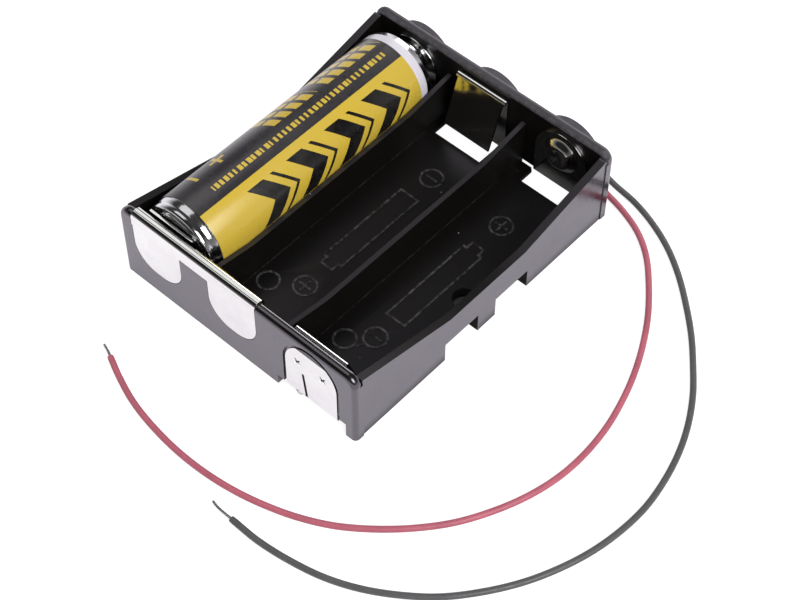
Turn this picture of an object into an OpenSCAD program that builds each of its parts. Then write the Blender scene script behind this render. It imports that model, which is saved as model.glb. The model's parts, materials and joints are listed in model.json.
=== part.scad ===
// Three-bay tray for AA size cells, with formed sheet contacts, two soldered leads and one cell in place.
// All sizes in millimetres. X runs across the bays, Y along the cells, Z up from the ground.

/* [Cell and bays] */

// Diameter of the cell that a bay takes
cell_d = 14.0; // [13.6:0.1:14.4]

// Length of the cell over its nub
cell_l = 50.5; // [49.5:0.1:51.5]

// Room beside the cell on each side of it
bay_gap = 0.18; // [0.12:0.02:0.3]

// Room for the folded leaf between the cell base and the near wall
leaf_room = 2.0; // [1.9:0.1:2.4]

/* [Tray] */

// Thickness of the two end walls
end_wall_t = 1.75; // [1.7:0.05:2.2]

// Height of the two end walls
end_wall_h = 14.6; // [14.2:0.1:15.4]

// How far the end walls stand proud of the side walls
end_lip = 0.16; // [0:0.02:0.4]

// Thickness of the two side walls
side_wall_t = 1.25; // [1.1:0.05:1.6]

// Height of the low middle part of the side walls
side_rim_z = 9.0; // [8:0.1:10]

// Half length of that low part
side_flat_y = 8.34; // [6:0.1:10]

// Height that the side walls have risen to where they meet the end walls
side_end_z = 13.5; // [12:0.1:13.8]

// Thickness of the dividers between bays
divider_t = 0.8; // [0.7:0.05:1.1]

// Height of the level middle part of the dividers
divider_z = 8.8; // [7.5:0.1:9.6]

// Half length of that level part
divider_flat_y = 17.5; // [15:0.5:20]

// Height of the dividers where they meet the end walls
divider_end_z = 10.4; // [9.8:0.1:12]

// Thickness of the floor
floor_t = 0.7; // [0.6:0.05:1]

// Diameter of the two screw holes
screw_d = 3.8; // [3.2:0.1:4.2]

// Distance of each screw hole from the middle of the tray
screw_x = 19.2; // [18.6:0.1:19.4]

// Height of the openings in the side walls between the feet
side_notch_h = 3.75; // [3:0.05:4.5]

// Length of each of those openings
side_notch_l = 7.32; // [6:0.1:8]

// Width of the middle foot of each side wall
mid_foot_l = 3.98; // [3.5:0.1:5]

// How far the three arched bosses stand out of the far wall
boss_out = 1.25; // [1:0.05:1.6]

/* [Contacts] */

// Thickness of the contact sheet
sheet_t = 0.4; // [0.3:0.05:0.5]

// Radius of the arched contact tabs
tab_r = 5.0; // [4.6:0.1:5.2]

// Height of the pressed dish over its plate
dish_h = 1.1; // [0.9:0.05:1.3]

/* [Leads] */

// Diameter of the lead insulation
lead_d = 1.0; // [0.9:0.05:1.2]

// Diameter of the bare conductor
core_d = 0.45; // [0.35:0.05:0.6]

/* [Hidden] */

$fn = 48;
eps = 0.01;

// Colours
plastic = [0.11, 0.11, 0.10];
nickel = [0.86, 0.86, 0.88];
tin = [0.70, 0.70, 0.72];
cell_dark = [0.16, 0.16, 0.17];
red_pvc = [0.72, 0.32, 0.38];
black_pvc = [0.30, 0.30, 0.30];

// Clearances
sheet_gap = 0.05;      // between a contact sheet and the face of its pocket
tab_gap = 0.1;         // round an arched tab inside a boss pocket
near_tab_gap = 0.5;    // round the arched tab in the near wall
plate_gap = 0.08;      // round the double contact in the near wall
slot_gap = 0.3;        // beside a contact plate in its floor slot
lead_head = 0.4;       // over a lead that runs under the floor

// Levels
floor_under = lead_d + lead_head;
floor_z = floor_under + floor_t;
mark_h = 0.1;                        // height of the raised marks that a cell rests on
axis_z = floor_z + mark_h + cell_d / 2;
foot_top = floor_z;                  // ceiling of the notches under the end walls
foot_low = foot_top - sheet_t;       // lower face of the contact feet in them
arch_z = axis_z - 0.9;               // centre of the arched tabs

// Plan
bay_w = cell_d + 2 * bay_gap;
pitch = bay_w + divider_t;
in_x = 1.5 * bay_w + divider_t;
side_x = in_x + side_wall_t;
end_x = side_x + end_lip;
dish_room = sheet_t + dish_h;
bay_l = cell_l + leaf_room + dish_room;
in_y = bay_l / 2;
end_y = in_y + end_wall_t;
tab_y = end_y - sheet_t;             // inner face of the outer contact tabs
plate_y = in_y - sheet_t;            // inner face of the plates inside the bays
cell_base_y = leaf_room - in_y;
cell_tip_y = in_y - dish_room;

// End walls
top_corner_r = 2.0;
bead_r = 0.8;

// Bosses on the far wall
boss_r = tab_r + 0.6;
boss_notch = boss_r + 0.1;

// Near double contact: lobes on the outside of the near wall
strip_low_z = end_wall_h - 2.1;
strip_x0 = -21.0;
strip_x1 = 4.35;
lobe_r = 4.3;
lobe_w = 9.8;
lobe_1_x = -pitch - 0.74;
lobe_2_x = -0.45;
lobe_1_z = 4.6;
lobe_2_z = 4.8;
lobe_2_w = 9.6;
over_r = 0.6 + sheet_t;              // outside radius where the sheet turns over the wall
leg_1_w = 8.9;
leg_2_w = 9.0;
leg_2_low = 3.2;
leaf_turn_z = 3.4;
leaf_turn_r = 0.5;
leaf_lip = 0.25;                     // how far the free end leans back
pressed_top_z = axis_z + 4.2;

// Feet that wrap under the end walls
foot_bend = 0.4;

// Folded leaves of the two free spring contacts
fold_r = 0.4;
fold_z = axis_z + 3.55;
leaf_end_z = axis_z - 4.7;
leaf_end_out = 4.0;                  // free end to the wall behind it
rear_2_x = -0.4;
rear_2_w = 9.8;
leaf_2_w = 9.05;
rear_3_w = 9.8;
leaf_3_w = 9.2;
plate_3_x = pitch + 0.24;

// Pressed dishes
dish_r = 3.4;
dish_rim_r = 3.6;
dish_crest_r = 1.95;
dish_steps = 12;

// Slit in the tab of the near single contact, and the two crosses pressed into it
slit_w = 0.5;
slit_x = pitch - 0.96;                // at its lower end
slit_tilt = 7.1;
slit_z = 2.2;
slit_l = 5.1;
slit_end_r = 0.38;
cross_out = 2.45;
cross_z = axis_z + 0.25;
cross_l = 1.4;
cross_w = 0.3;
cross_deep = 0.15;

// Slots in the floor at the contacts
far_slot_2 = [-6.3, 3.3, 21.9];
far_slot_3 = [10.4, 18.6, 23.4];
near_slot_3 = [10.0, 20.4, 23.9];
channel_3 = [7.9, 10.5, 26.6];

// Near wall notch for the foot of the near single contact
near_notch_x0 = 8.3;
near_notch_x1 = 21.8;
near_notch_z = 2.75;                 // its ceiling beside the tab

// Raised marks on the floor
mark_w = 0.35;
ring_r = 2.0;
ring_y = 14.3;
mark_3_x = pitch - 0.86;
mark_l = 17.8;
mark_nub = 1.4;
sign_l = 2 * ring_r - 1.6;
pin_ring_r = 1.9;
pin_rings = [[11.1, -17.5], [-4.8, -17.3]];

// Pads under the floor
foot_pad_x = 1.8;
foot_pad_l = 2.5;
screw_boss_r = 3.0;

// Cell
can_r = cell_d / 2;
nub_r = 2.75;
nub_l = 1.7;
can_step = 0.15;

// Solder joints
solder_r = 0.85;
red_pad_x = 2.16 - pitch;
black_pad_x = pitch - 3.16;
pad_in = 1.05;                       // solder joint from the outer face of an end wall

// Runs of the leads under the floor
run_r = 3.0;
strip_back = 3.3;                    // insulation starts this far inside the end wall's outer face
run_in = 7.5;
red_run_y = in_y - run_in;
red_exit_x = 4.0;
black_exit_x = 5.6;
black_jog_y = -8.0;

// Route of each free lead on the ground, in steps from its exit: x, y, height of its centre
lift = lead_d / 2;
red_route = [
    [4.0, end_y, lift], [4.0, 29.4, lift], [4.1, 30.7, lift + 0.3], [4.5, 32.1, lift + 1.0],
    [5.8, 33.2, lift + 1.15], [7.6, 33.5, lift + 0.95], [10.2, 33.3, lift + 0.4], [13.2, 32.9, lift + 0.05],
    [17.4, 32.2, lift],
    [21.9, 31.4, lift], [26.2, 30.2, lift], [30.2, 28.4, lift], [34.0, 25.5, lift],
    [37.7, 21.3, lift], [41.0, 16.8, lift], [43.8, 11.9, lift], [46.0, 7.0, lift],
    [47.6, 2.2, lift], [48.8, -3.0, lift], [49.3, -8.6, lift], [49.0, -14.0, lift],
    [47.8, -19.3, lift], [45.8, -24.4, lift], [43.1, -29.3, lift], [39.7, -33.6, lift],
    [35.7, -37.5, lift], [31.2, -40.9, lift], [26.4, -43.4, lift], [21.3, -45.2, lift],
    [16.1, -46.4, lift], [10.7, -47.0, lift], [5.3, -47.0, lift], [-0.2, -46.4, lift],
    [-4.9, -45.4, lift], [-9.4, -43.8, lift], [-13.0, -42.2, lift]];
black_route = [
    [5.6, end_y, lift], [5.6, 31.0, lift], [5.6, 33.2, lift], [6.3, 35.0, lift],
    [8.0, 36.2, lift], [10.4, 36.3, lift], [15.0, 35.4, lift], [20.7, 33.9, lift],
    [26.0, 33.0, lift], [30.8, 31.4, lift], [35.4, 29.1, lift], [39.8, 26.0, lift],
    [44.0, 22.3, lift], [47.9, 18.4, lift], [51.4, 14.2, lift], [54.6, 9.9, lift],
    [57.2, 5.3, lift], [59.1, 0.6, lift], [60.4, -4.4, lift], [61.1, -9.7, lift],
    [60.9, -15.0, lift], [60.0, -20.2, lift], [58.4, -25.2, lift], [56.1, -30.2, lift],
    [53.0, -35.0, lift], [49.3, -39.4, lift], [45.2, -42.8, lift], [40.6, -45.7, lift],
    [35.7, -47.8, lift], [30.4, -49.1, lift], [25.0, -49.8, lift], [19.7, -49.8, lift]];
tip_low = core_d / 2;
red_tip_route = [[-13.0, -42.2, lift], [-13.9, -41.8, lift], [-14.7, -41.5, (lift + tip_low) / 2],
                 [-15.5, -41.2, tip_low]];
black_tip_route = [[19.7, -49.8, lift], [18.6, -49.8, lift], [17.0, -49.7, (lift + tip_low) / 2],
                   [15.6, -49.4, tip_low]];

// ---------- helpers ----------

// The whole object, so that its middle and not the tray's is over the origin
module seat() {
    translate([0, -boss_out / 2, 0]) children();
}

// A plan in Y and Z, made solid along X
module along_x(x0, x1) {
    translate([x0, 0, 0]) rotate([90, 0, 90]) linear_extrude(x1 - x0) children();
}

// An outline in X and Z, made solid along Y
module along_y(y0, y1) {
    translate([0, y1, 0]) rotate([90, 0, 0]) linear_extrude(y1 - y0) children();
}

module box(x0, x1, y0, y1, z0, z1) {
    translate([x0, y0, z0]) cube([x1 - x0, y1 - y0, z1 - z0]);
}

// Straight piece of bent sheet, seen on its edge
module flat(a, b) {
    translate(a) rotate(atan2(b[1] - a[1], b[0] - a[0]))
        translate([0, -sheet_t / 2]) square([norm(b - a), sheet_t]);
}

function spoke(r, a) = [r * cos(a), r * sin(a)];

// Bend of the sheet round a centre, from angle a0 to a1
module bend(c, r, a0, a1) {
    reach = 2 * (r + sheet_t);
    step = (a1 - a0) / 3;
    translate(c) intersection() {
        difference() {
            circle(r + sheet_t / 2);
            circle(r - sheet_t / 2);
        }
        polygon([[0, 0], spoke(reach, a0), spoke(reach, a0 + step), spoke(reach, a1 - step), spoke(reach, a1)]);
    }
}

// Upright plate with an arched top
module arch(x, r, z0) {
    translate([x, arch_z]) circle(r);
    translate([x - r, z0]) square([2 * r, arch_z - z0]);
}

// Plate with two round lower corners
module lobe(x, w, z0, z1) {
    translate([x - w / 2, z0 + lobe_r]) square([w, z1 - z0 - lobe_r]);
    translate([x - w / 2 + lobe_r, z0]) square([w - 2 * lobe_r, lobe_r + eps]);
    for (side = [-1, 1]) translate([x + side * (w / 2 - lobe_r), z0 + lobe_r]) circle(lobe_r);
}

// Height of the pressed dish over its plate, at a distance from its middle
function dish_at(r) = r < dish_crest_r
    ? dish_h * (3 - cos(180 * r / dish_crest_r)) / 4
    : dish_h * (1 + cos(180 * (r - dish_crest_r) / (dish_r - dish_crest_r))) / 2;

// Pressed dish on a plate that faces -Y at y = 0, with its crest dish_h out
module dish() {
    step = dish_r / dish_steps;
    rotate([90, 0, 0]) rotate_extrude()
        polygon([for (i = [0:dish_steps]) [i * step, dish_at(i * step)], [dish_rim_r, 0], [dish_rim_r, -sheet_t],
                 for (i = [dish_steps:-1:0]) [i * step, dish_at(i * step) - sheet_t]]);
}

module dish_hole() {
    rotate([90, 0, 0]) cylinder(r = (dish_r + dish_rim_r) / 2, h = 4 * sheet_t, center = true);
}

// ---------- tray ----------

module side_profile() {
    polygon([[-in_y, 0], [in_y, 0], [in_y, side_end_z], [side_flat_y, side_rim_z],
             [-side_flat_y, side_rim_z], [-in_y, side_end_z]]);
}

module divider_profile() {
    polygon([[-in_y, floor_under], [in_y, floor_under], [in_y, divider_end_z], [divider_flat_y, divider_z],
             [-divider_flat_y, divider_z], [-in_y, divider_end_z]]);
}

// Section of an end wall across its rim, which is round on both sides; its foot is at z = 0
module rim_section(h) {
    square([h - bead_r, end_wall_t]);
    translate([0, bead_r]) square([h, end_wall_t - 2 * bead_r]);
    for (y = [bead_r, end_wall_t - bead_r]) translate([h - bead_r, y]) circle(bead_r);
}

// Plan of one upright edge of an end wall, round on the outside; its inner end is at x = 0
module edge_plan() {
    square([top_corner_r - bead_r, end_wall_t]);
    translate([0, bead_r]) square([top_corner_r, end_wall_t - bead_r]);
    translate([top_corner_r - bead_r, bead_r]) circle(bead_r);
}

// Near end wall: its middle, and on each side a round corner over an upright edge
module near_wall() {
    straight_x = end_x - top_corner_r;
    straight_z = end_wall_h - top_corner_r;
    along_x(-straight_x, straight_x) translate([-in_y, 0]) rotate(90) rim_section(end_wall_h);
    for (side = [0, 1]) mirror([side, 0, 0]) translate([straight_x, 0, 0]) {
        translate([0, -end_y, 0]) linear_extrude(straight_z) edge_plan();
        translate([0, -in_y, straight_z]) rotate([90, 0, 0]) rotate_extrude(angle = 90)
            rim_section(top_corner_r);
    }
}

module boss(x) {
    along_y(end_y - eps, end_y + boss_out) arch(x, boss_r, foot_top);
}

// Pads under the floor by the feet, with a round boss at each screw hole
module foot_pads() {
    for (side = [-1, 1]) {
        translate([side * screw_x, 0, 0]) cylinder(r = screw_boss_r, h = floor_z);
        translate([side * (screw_x + in_x) / 2, 0, floor_z / 2])
            cube([in_x - screw_x + 2 * eps, mid_foot_l, floor_z], center = true);
        for (end = [-1, 1])
            translate([side * (in_x - foot_pad_x / 2 + eps),
                       end * (mid_foot_l / 2 + side_notch_l + foot_pad_l / 2), floor_z / 2])
                cube([foot_pad_x, foot_pad_l, floor_z], center = true);
    }
}

// Room that the near double contact takes on and over the near wall
module near_double_room() {
    along_y(-end_y - 1, -tab_y) {
        translate([strip_x0 - plate_gap, strip_low_z - plate_gap])
            square([strip_x1 - strip_x0 + 2 * plate_gap, end_wall_h]);
        lobe(lobe_1_x, lobe_w + 2 * plate_gap, lobe_1_z - plate_gap, end_wall_h);
        lobe(lobe_2_x, lobe_2_w + 2 * plate_gap, lobe_2_z - plate_gap, end_wall_h);
    }
    difference() {
        box(strip_x0 - plate_gap, strip_x1 + plate_gap, -end_y - 1, -in_y + eps,
            end_wall_h + sheet_t - over_r, end_wall_h + 1);
        along_x(strip_x0 - 1, strip_x1 + 1) wall_core();
    }
}

// Top of the near wall that the sheet turns over
module wall_core() {
    r = over_r - sheet_t;
    translate([-tab_y, 0]) square([tab_y - in_y, end_wall_h - r]);
    translate([r - tab_y, 0]) square([tab_y - in_y - 2 * r, end_wall_h]);
    for (y = [r - tab_y, -in_y - r]) translate([y, end_wall_h - r]) circle(r);
}

module notches() {
    for (side = [-1, 1]) for (end = [-1, 1])
        translate([side * (in_x + side_wall_t / 2), end * (mid_foot_l + side_notch_l) / 2, 0])
            cube([side_wall_t + 1, side_notch_l, 2 * side_notch_h], center = true);
    box(near_notch_x0, near_notch_x1, -end_y - 1, -in_y + eps, -1, foot_top);
    box(pitch + tab_r, near_notch_x1, -end_y - 1, -in_y + eps, -1, near_notch_z);
    box(-pitch - boss_notch, -pitch + boss_notch, in_y - eps, end_y + boss_out + 1, -1, foot_top);
    box(-boss_notch, pitch + boss_notch, in_y - eps, end_y + boss_out + 1, -1, foot_top);
}

// Round lower edges of a far wall where a foot wraps under it
module foot_relief(x0, x1) {
    r = foot_bend - sheet_t / 2;
    along_x(x0 - slot_gap, x1 + slot_gap) difference() {
        translate([in_y - eps, foot_top - eps]) square([end_wall_t - sheet_t + 2 * eps, r + eps]);
        translate([in_y + r, foot_top + r]) circle(r);
        translate([tab_y - r, foot_top + r]) circle(r);
        translate([in_y + r, foot_top]) square([tab_y - in_y - 2 * r, 2 * r]);
    }
}

// Pockets for the arched tabs, open below
module tab_pockets() {
    for (x = [-pitch, 0, pitch])
        along_y(tab_y, end_y + sheet_gap) arch(x, tab_r + tab_gap, 0);
    along_y(-end_y - 1, -tab_y) arch(pitch, tab_r + near_tab_gap, 0);
}

// Slots that let the contact plates down through the floor
module floor_slots() {
    box(far_slot_2[0], far_slot_2[1], far_slot_2[2], in_y + eps, -1, floor_z + 1);
    box(rear_2_x - rear_2_w / 2 - slot_gap, rear_2_x + rear_2_w / 2 + slot_gap, plate_y - slot_gap, in_y + eps,
        -1, floor_z + 1);
    box(far_slot_3[0], far_slot_3[1], far_slot_3[2], in_y + eps, -1, floor_z + 1);
    box(plate_3_x - tab_r - slot_gap, plate_3_x + tab_r + slot_gap, plate_y - slot_gap, in_y + eps,
        -1, floor_z + 1);
    box(channel_3[0], channel_3[1], channel_3[2], in_y + eps, -1, floor_z + 1);
    box(-pitch - tab_r - slot_gap, -pitch + tab_r + slot_gap, far_slot_3[2], in_y + eps, -1, floor_z + 1);
    box(near_slot_3[0], near_slot_3[1], -in_y - eps, -near_slot_3[2], -1, floor_z + 1);
}

// Ring with a plus or a minus in it
module polarity(x, y, plus) {
    translate([x, y, floor_z - eps]) {
        linear_extrude(mark_h + eps) difference() {
            circle(ring_r);
            circle(ring_r - mark_w);
        }
        translate([0, 0, mark_h / 2]) cube([sign_l, mark_w, mark_h], center = true);
        if (plus) translate([0, 0, mark_h / 2]) cube([mark_w, sign_l, mark_h], center = true);
    }
}

// Outline of a cell with its nub at the far end when dir is 1
module cell_mark(x, y, dir) {
    body_w = 3.9;
    nub_w = 2.6;
    translate([x, y, floor_z - eps]) linear_extrude(mark_h + eps) difference() {
        union() {
            square([body_w, mark_l], center = true);
            translate([0, dir * (mark_l + mark_nub) / 2]) square([nub_w, mark_nub + eps], center = true);
        }
        square([body_w - 2 * mark_w, mark_l - 2 * mark_w], center = true);
        translate([0, dir * (mark_l + mark_nub) / 2 - dir * mark_w])
            square([nub_w - 2 * mark_w, mark_nub], center = true);
    }
}

module floor_marks() {
    for (x = [-mark_3_x, mark_3_x]) {
        polarity(x, ring_y, true);
        polarity(x, -ring_y, false);
        cell_mark(x, -1.2, 1);
    }
    polarity(0, ring_y, false);
    polarity(0, -ring_y, true);
    cell_mark(-0.25, 0.7, -1);
    for (pin = pin_rings) translate([pin[0], pin[1], floor_z - eps]) linear_extrude(mark_h + eps) difference() {
        circle(pin_ring_r);
        circle(pin_ring_r - mark_w);
    }
}

module tray() {
    color(plastic) seat() difference() {
        union() {
            box(-in_x - eps, in_x + eps, -in_y - eps, in_y + eps, floor_under, floor_z);
            along_x(in_x, side_x) side_profile();
            along_x(-side_x, -in_x) side_profile();
            for (x = [-1, 1]) along_x(x * pitch / 2 - divider_t / 2, x * pitch / 2 + divider_t / 2)
                divider_profile();
            near_wall();
            mirror([0, 1, 0]) near_wall();
            for (x = [-pitch, 0, pitch]) boss(x);
            foot_pads();
            floor_marks();
        }
        near_double_room();
        notches();
        tab_pockets();
        floor_slots();
        foot_relief(-pitch - tab_r, -pitch + tab_r);
        foot_relief(rear_2_x - tab_r, plate_3_x + tab_r);
        mirror([0, 1, 0]) foot_relief(pitch - tab_r, pitch + tab_r);
        for (side = [-1, 1]) translate([side * screw_x, 0, -1]) cylinder(d = screw_d, h = floor_z + 2);
    }
}

// ---------- contacts ----------

// Section of the sheet on the outside of the near wall, over its top and down inside to z
module over_section(z) {
    y_out = -end_y + sheet_t / 2;
    y_in = -in_y + sheet_t / 2;
    r = over_r - sheet_t / 2;
    z_turn = end_wall_h + sheet_t - over_r;
    flat([y_out, 0], [y_out, z_turn]);
    bend([y_out + r, z_turn], r, 90, 180);
    flat([y_out + r, z_turn + r], [y_in - r, z_turn + r]);
    bend([y_in - r, z_turn], r, 0, 90);
    flat([y_in, z], [y_in, z_turn]);
}

// Folded leaf of bay 1, pressed back by the cell
module pressed_leaf_section() {
    y0 = -in_y + sheet_t / 2;
    y1 = y0 + 2 * leaf_turn_r;
    y2 = cell_base_y - sheet_t / 2;
    face_low = axis_z - 1.2;
    face_top = axis_z + 1.3;
    over_section(leaf_turn_z);
    bend([y0 + leaf_turn_r, leaf_turn_z], leaf_turn_r, 180, 360);
    flat([y1, leaf_turn_z], [y2, face_low]);
    translate([y2, face_low]) circle(sheet_t / 2);
    flat([y2, face_low], [y2, face_top]);
    translate([y2, face_top]) circle(sheet_t / 2);
    flat([y2, face_top], [y2 - leaf_lip, pressed_top_z]);
}

module near_double_outline() {
    translate([strip_x0, strip_low_z]) square([strip_x1 - strip_x0, end_wall_h]);
    lobe(lobe_1_x, lobe_w, lobe_1_z, end_wall_h);
    lobe(lobe_2_x, lobe_2_w, lobe_2_z, end_wall_h);
}

module near_double_contact() {
    color(nickel) seat() {
        intersection() {
            along_x(strip_x0, strip_x1) over_section(end_wall_h - 1.2);
            along_y(-end_y - 1, -plate_y + 1) near_double_outline();
        }
        intersection() {
            along_x(lobe_1_x - leg_1_w / 2, lobe_1_x + leg_1_w / 2) pressed_leaf_section();
            box(-end_x, end_x, -tab_y, 0, 0, end_wall_h + sheet_t);
        }
        difference() {
            intersection() {
                along_x(lobe_2_x - leg_2_w / 2, lobe_2_x + leg_2_w / 2) over_section(leg_2_low);
                box(-end_x, end_x, -tab_y, 0, 0, end_wall_h + sheet_t);
            }
            translate([0, -in_y + sheet_t / 2, axis_z]) dish_hole();
        }
        translate([0, -plate_y, axis_z]) mirror([0, 1, 0]) dish();
    }
}

// Foot of a contact that wraps under the far wall and rises as an arched tab
module foot_section(top_in, top_out) {
    r = foot_bend;
    y_in = in_y - sheet_t / 2;
    y_out = end_y - sheet_t / 2;
    z_foot = foot_low + sheet_t / 2;
    flat([y_in, z_foot + r], [y_in, top_in]);
    bend([y_in + r, z_foot + r], r, 180, 270);
    flat([y_in + r, z_foot], [y_out - r, z_foot]);
    bend([y_out - r, z_foot + r], r, 270, 360);
    flat([y_out, z_foot + r], [y_out, top_out]);
}

// Arched dish plate with its foot and its outer tab; x_in is the plate, x_out the tab
module dish_contact(x_in, x_out) {
    top = arch_z + tab_r;
    difference() {
        intersection() {
            along_x(x_in - tab_r, x_in + tab_r) foot_section(top, foot_top);
            along_y(in_y - 2, tab_y) arch(x_in, tab_r, 0);
        }
        translate([x_in, in_y - sheet_t / 2, axis_z]) dish_hole();
    }
    translate([x_in, plate_y, axis_z]) dish();
    outer_tab(x_out);
}

module outer_tab(x) {
    intersection() {
        along_x(x - tab_r, x + tab_r) foot_section(foot_top, arch_z + tab_r);
        along_y(in_y + sheet_t, end_y) arch(x, tab_r, 0);
    }
}

// Plate behind a bay with its top folded over into a leaf that slopes down into the bay
module free_leaf(x, plate_w, leaf_w) {
    y_in = in_y - sheet_t / 2;
    y_leaf = y_in - 2 * fold_r;
    along_x(x - plate_w / 2, x + plate_w / 2) {
        difference() {
            foot_section(fold_z, foot_top);
            translate([tab_y, 0]) square([2, end_wall_h]);
        }
        bend([y_in - fold_r, fold_z], fold_r, 0, 180);
    }
    along_x(x - leaf_w / 2, x + leaf_w / 2) {
        translate([y_leaf, fold_z]) circle(sheet_t / 2);
        flat([y_leaf, fold_z], [in_y - leaf_end_out, leaf_end_z]);
        translate([in_y - leaf_end_out, leaf_end_z]) circle(sheet_t / 2);
    }
}

module far_double_contact() {
    color(nickel) seat() {
        free_leaf(rear_2_x, rear_2_w, leaf_2_w);
        outer_tab(0);
        dish_contact(plate_3_x, pitch);
        box(-tab_r, pitch + tab_r, in_y + 0.3, tab_y - 0.3, foot_low, foot_top);
    }
}

module far_single_contact() {
    color(nickel) seat() dish_contact(-pitch, -pitch);
}

module near_single_contact() {
    color(nickel) seat() mirror([0, 1, 0]) difference() {
        union() {
            free_leaf(pitch, rear_3_w, leaf_3_w);
            outer_tab(pitch);
        }
        translate([slit_x, tab_y, slit_z]) rotate([0, -slit_tilt, 0]) {
            translate([-slit_w / 2, -1, 0]) cube([slit_w, 2, slit_l]);
            rotate([90, 0, 0]) cylinder(r = slit_end_r, h = 2, center = true, $fn = 24);
        }
        for (side = [-1, 1]) for (turn = [-45, 45])
            translate([pitch - 0.14 + side * cross_out, end_y, cross_z]) rotate([0, turn, 0])
                cube([cross_w, 2 * cross_deep, cross_l], center = true);
    }
}

// ---------- cell ----------

module cell() {
    base = cell_base_y;
    tip = cell_tip_y;
    can_l = tip - base - nub_l;
    color(cell_dark) seat() translate([-pitch, base, axis_z]) rotate([-90, 0, 0]) rotate_extrude($fn = 72)
        polygon([[0, 0], [5.4, 0], [5.5, 0.35], [5.9, 0.35], [6.1, 0.1], [6.5, 0], [can_r - can_step, 0.5],
                 [can_r - can_step, 2.0], [can_r, 2.15], [can_r, can_l - 2.2], [can_r - can_step, can_l - 2.05],
                 [can_r - can_step, can_l - 0.6], [6.4, can_l], [3.6, can_l], [3.4, can_l - 0.15],
                 [nub_r + 0.1, can_l - 0.15], [nub_r, can_l + 0.1], [nub_r - 0.1, can_l + nub_l - 0.4],
                 [nub_r - 0.5, can_l + nub_l], [0, can_l + nub_l]]);
}

// ---------- leads ----------

// Length of lead between two points on the ground
module run(a, b, d) {
    translate([a[0], a[1], lift]) rotate([0, 0, atan2(b[1] - a[1], b[0] - a[0])]) rotate([0, 90, 0])
        cylinder(d = d, h = norm(b - a));
}

// Elbow of lead round a centre, from angle a0 to a1
module elbow(c, a0, a1) {
    translate([c[0], c[1], lift]) rotate([0, 0, a0]) rotate_extrude(angle = a1 - a0)
        translate([run_r, 0]) circle(d = lead_d);
}

module red_lead_run() {
    y0 = end_y - strip_back;
    color(red_pvc) seat() {
        run([red_pad_x, y0], [red_pad_x, red_run_y + run_r], lead_d);
        elbow([red_pad_x + run_r, red_run_y + run_r], 180, 270);
        run([red_pad_x + run_r, red_run_y], [red_exit_x - run_r, red_run_y], lead_d);
        elbow([red_exit_x - run_r, red_run_y + run_r], 270, 360);
        run([red_exit_x, red_run_y + run_r], [red_exit_x, end_y], lead_d);
    }
}

module black_lead_run() {
    y0 = strip_back - end_y;
    y1 = black_jog_y + 2 * run_r;
    color(black_pvc) seat() {
        run([black_pad_x, y0], [black_pad_x, black_jog_y], lead_d);
        elbow([black_pad_x - run_r, black_jog_y], 0, 90);
        run([black_pad_x - run_r, black_jog_y + run_r], [black_exit_x + run_r, black_jog_y + run_r], lead_d);
        elbow([black_exit_x + run_r, y1], 180, 270);
        run([black_exit_x, y1], [black_exit_x, end_y], lead_d);
    }
}

module red_run_conductor() {
    color(tin) seat() run([red_pad_x, end_y - pad_in], [red_pad_x, end_y - strip_back], core_d);
}

module black_run_conductor() {
    color(tin) seat() run([black_pad_x, pad_in - end_y], [black_pad_x, strip_back - end_y], core_d);
}

// Drop of solder between a contact foot and the conductor's end
module solder(x, y) {
    translate([x, y, 0]) difference() {
        rotate_extrude() polygon([[0, lift - 0.4], [0.4, lift - 0.33], [0.65, lift - 0.06], [solder_r, foot_low],
                                  [0, foot_low]]);
        children();
    }
}

module red_solder_joint() {
    y = end_y - pad_in;
    color(tin) seat() solder(red_pad_x, y) translate([0, 0, lift]) rotate([90, 0, 0]) cylinder(d = core_d, h = 2);
}

module black_solder_joint() {
    y = pad_in - end_y;
    color(tin) seat() solder(black_pad_x, y) translate([0, 0, lift]) rotate([-90, 0, 0]) cylinder(d = core_d, h = 2);
}

// Tube with eight sides, swept along a route; one side of it lies on the ground
sides = 8;
function unit(v) = v / norm(v);
function heading(p, i) = let (n = len(p) - 1)
    i == 0 ? unit(p[1] - p[0]) : i == n ? unit(p[n] - p[n - 1]) : unit(unit(p[i + 1] - p[i]) + unit(p[i] - p[i - 1]));
function ring(c, t, r) = let (s = unit(cross(t, [0, 0, 1])), u = cross(s, t))
    [for (k = [0:sides - 1]) let (a = 360 * (k + 0.5) / sides) c + r * cos(a) * s + r * sin(a) * u];

module tube(route, d) {
    n = len(route);
    r = d / 2 / cos(180 / sides);
    points = [for (i = [0:n - 1]) each ring(route[i], heading(route, i), r)];
    skin = [for (i = [0:n - 2]) for (k = [0:sides - 1]) let (j = (k + 1) % sides)
        [i * sides + k, i * sides + j, (i + 1) * sides + j, (i + 1) * sides + k]];
    polyhedron(points, concat(skin, [[for (k = [sides - 1:-1:0]) k]],
                              [[for (k = [0:sides - 1]) (n - 1) * sides + k]]));
}

module red_lead() {
    color(red_pvc) seat() tube(red_route, lead_d);
}

module black_lead() {
    color(black_pvc) seat() tube(black_route, lead_d);
}

module red_lead_tip() {
    color(tin) seat() tube(red_tip_route, core_d);
}

module black_lead_tip() {
    color(tin) seat() tube(black_tip_route, core_d);
}

tray();
near_double_contact();
far_double_contact();
far_single_contact();
near_single_contact();
cell();
red_lead_run();
black_lead_run();
red_run_conductor();
black_run_conductor();
red_solder_joint();
black_solder_joint();
red_lead();
black_lead();
red_lead_tip();
black_lead_tip();
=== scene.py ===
"""Visual model of a three-bay holder for AA size cells, with one cell in place.

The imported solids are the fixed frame.  Moulded and formed pieces are copies of
them with rounded edges, and the cell, the leads and the bare wire ends are made
here.  Sizes are in millimetres and turned into metres where a mesh is made.
"""

from __future__ import annotations

import json
import logging
import math
from dataclasses import dataclass, field
from enum import Enum
from functools import cached_property
from typing import Callable, Iterable, Sequence

import bmesh
import bpy
from mathutils import Matrix, Vector

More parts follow.
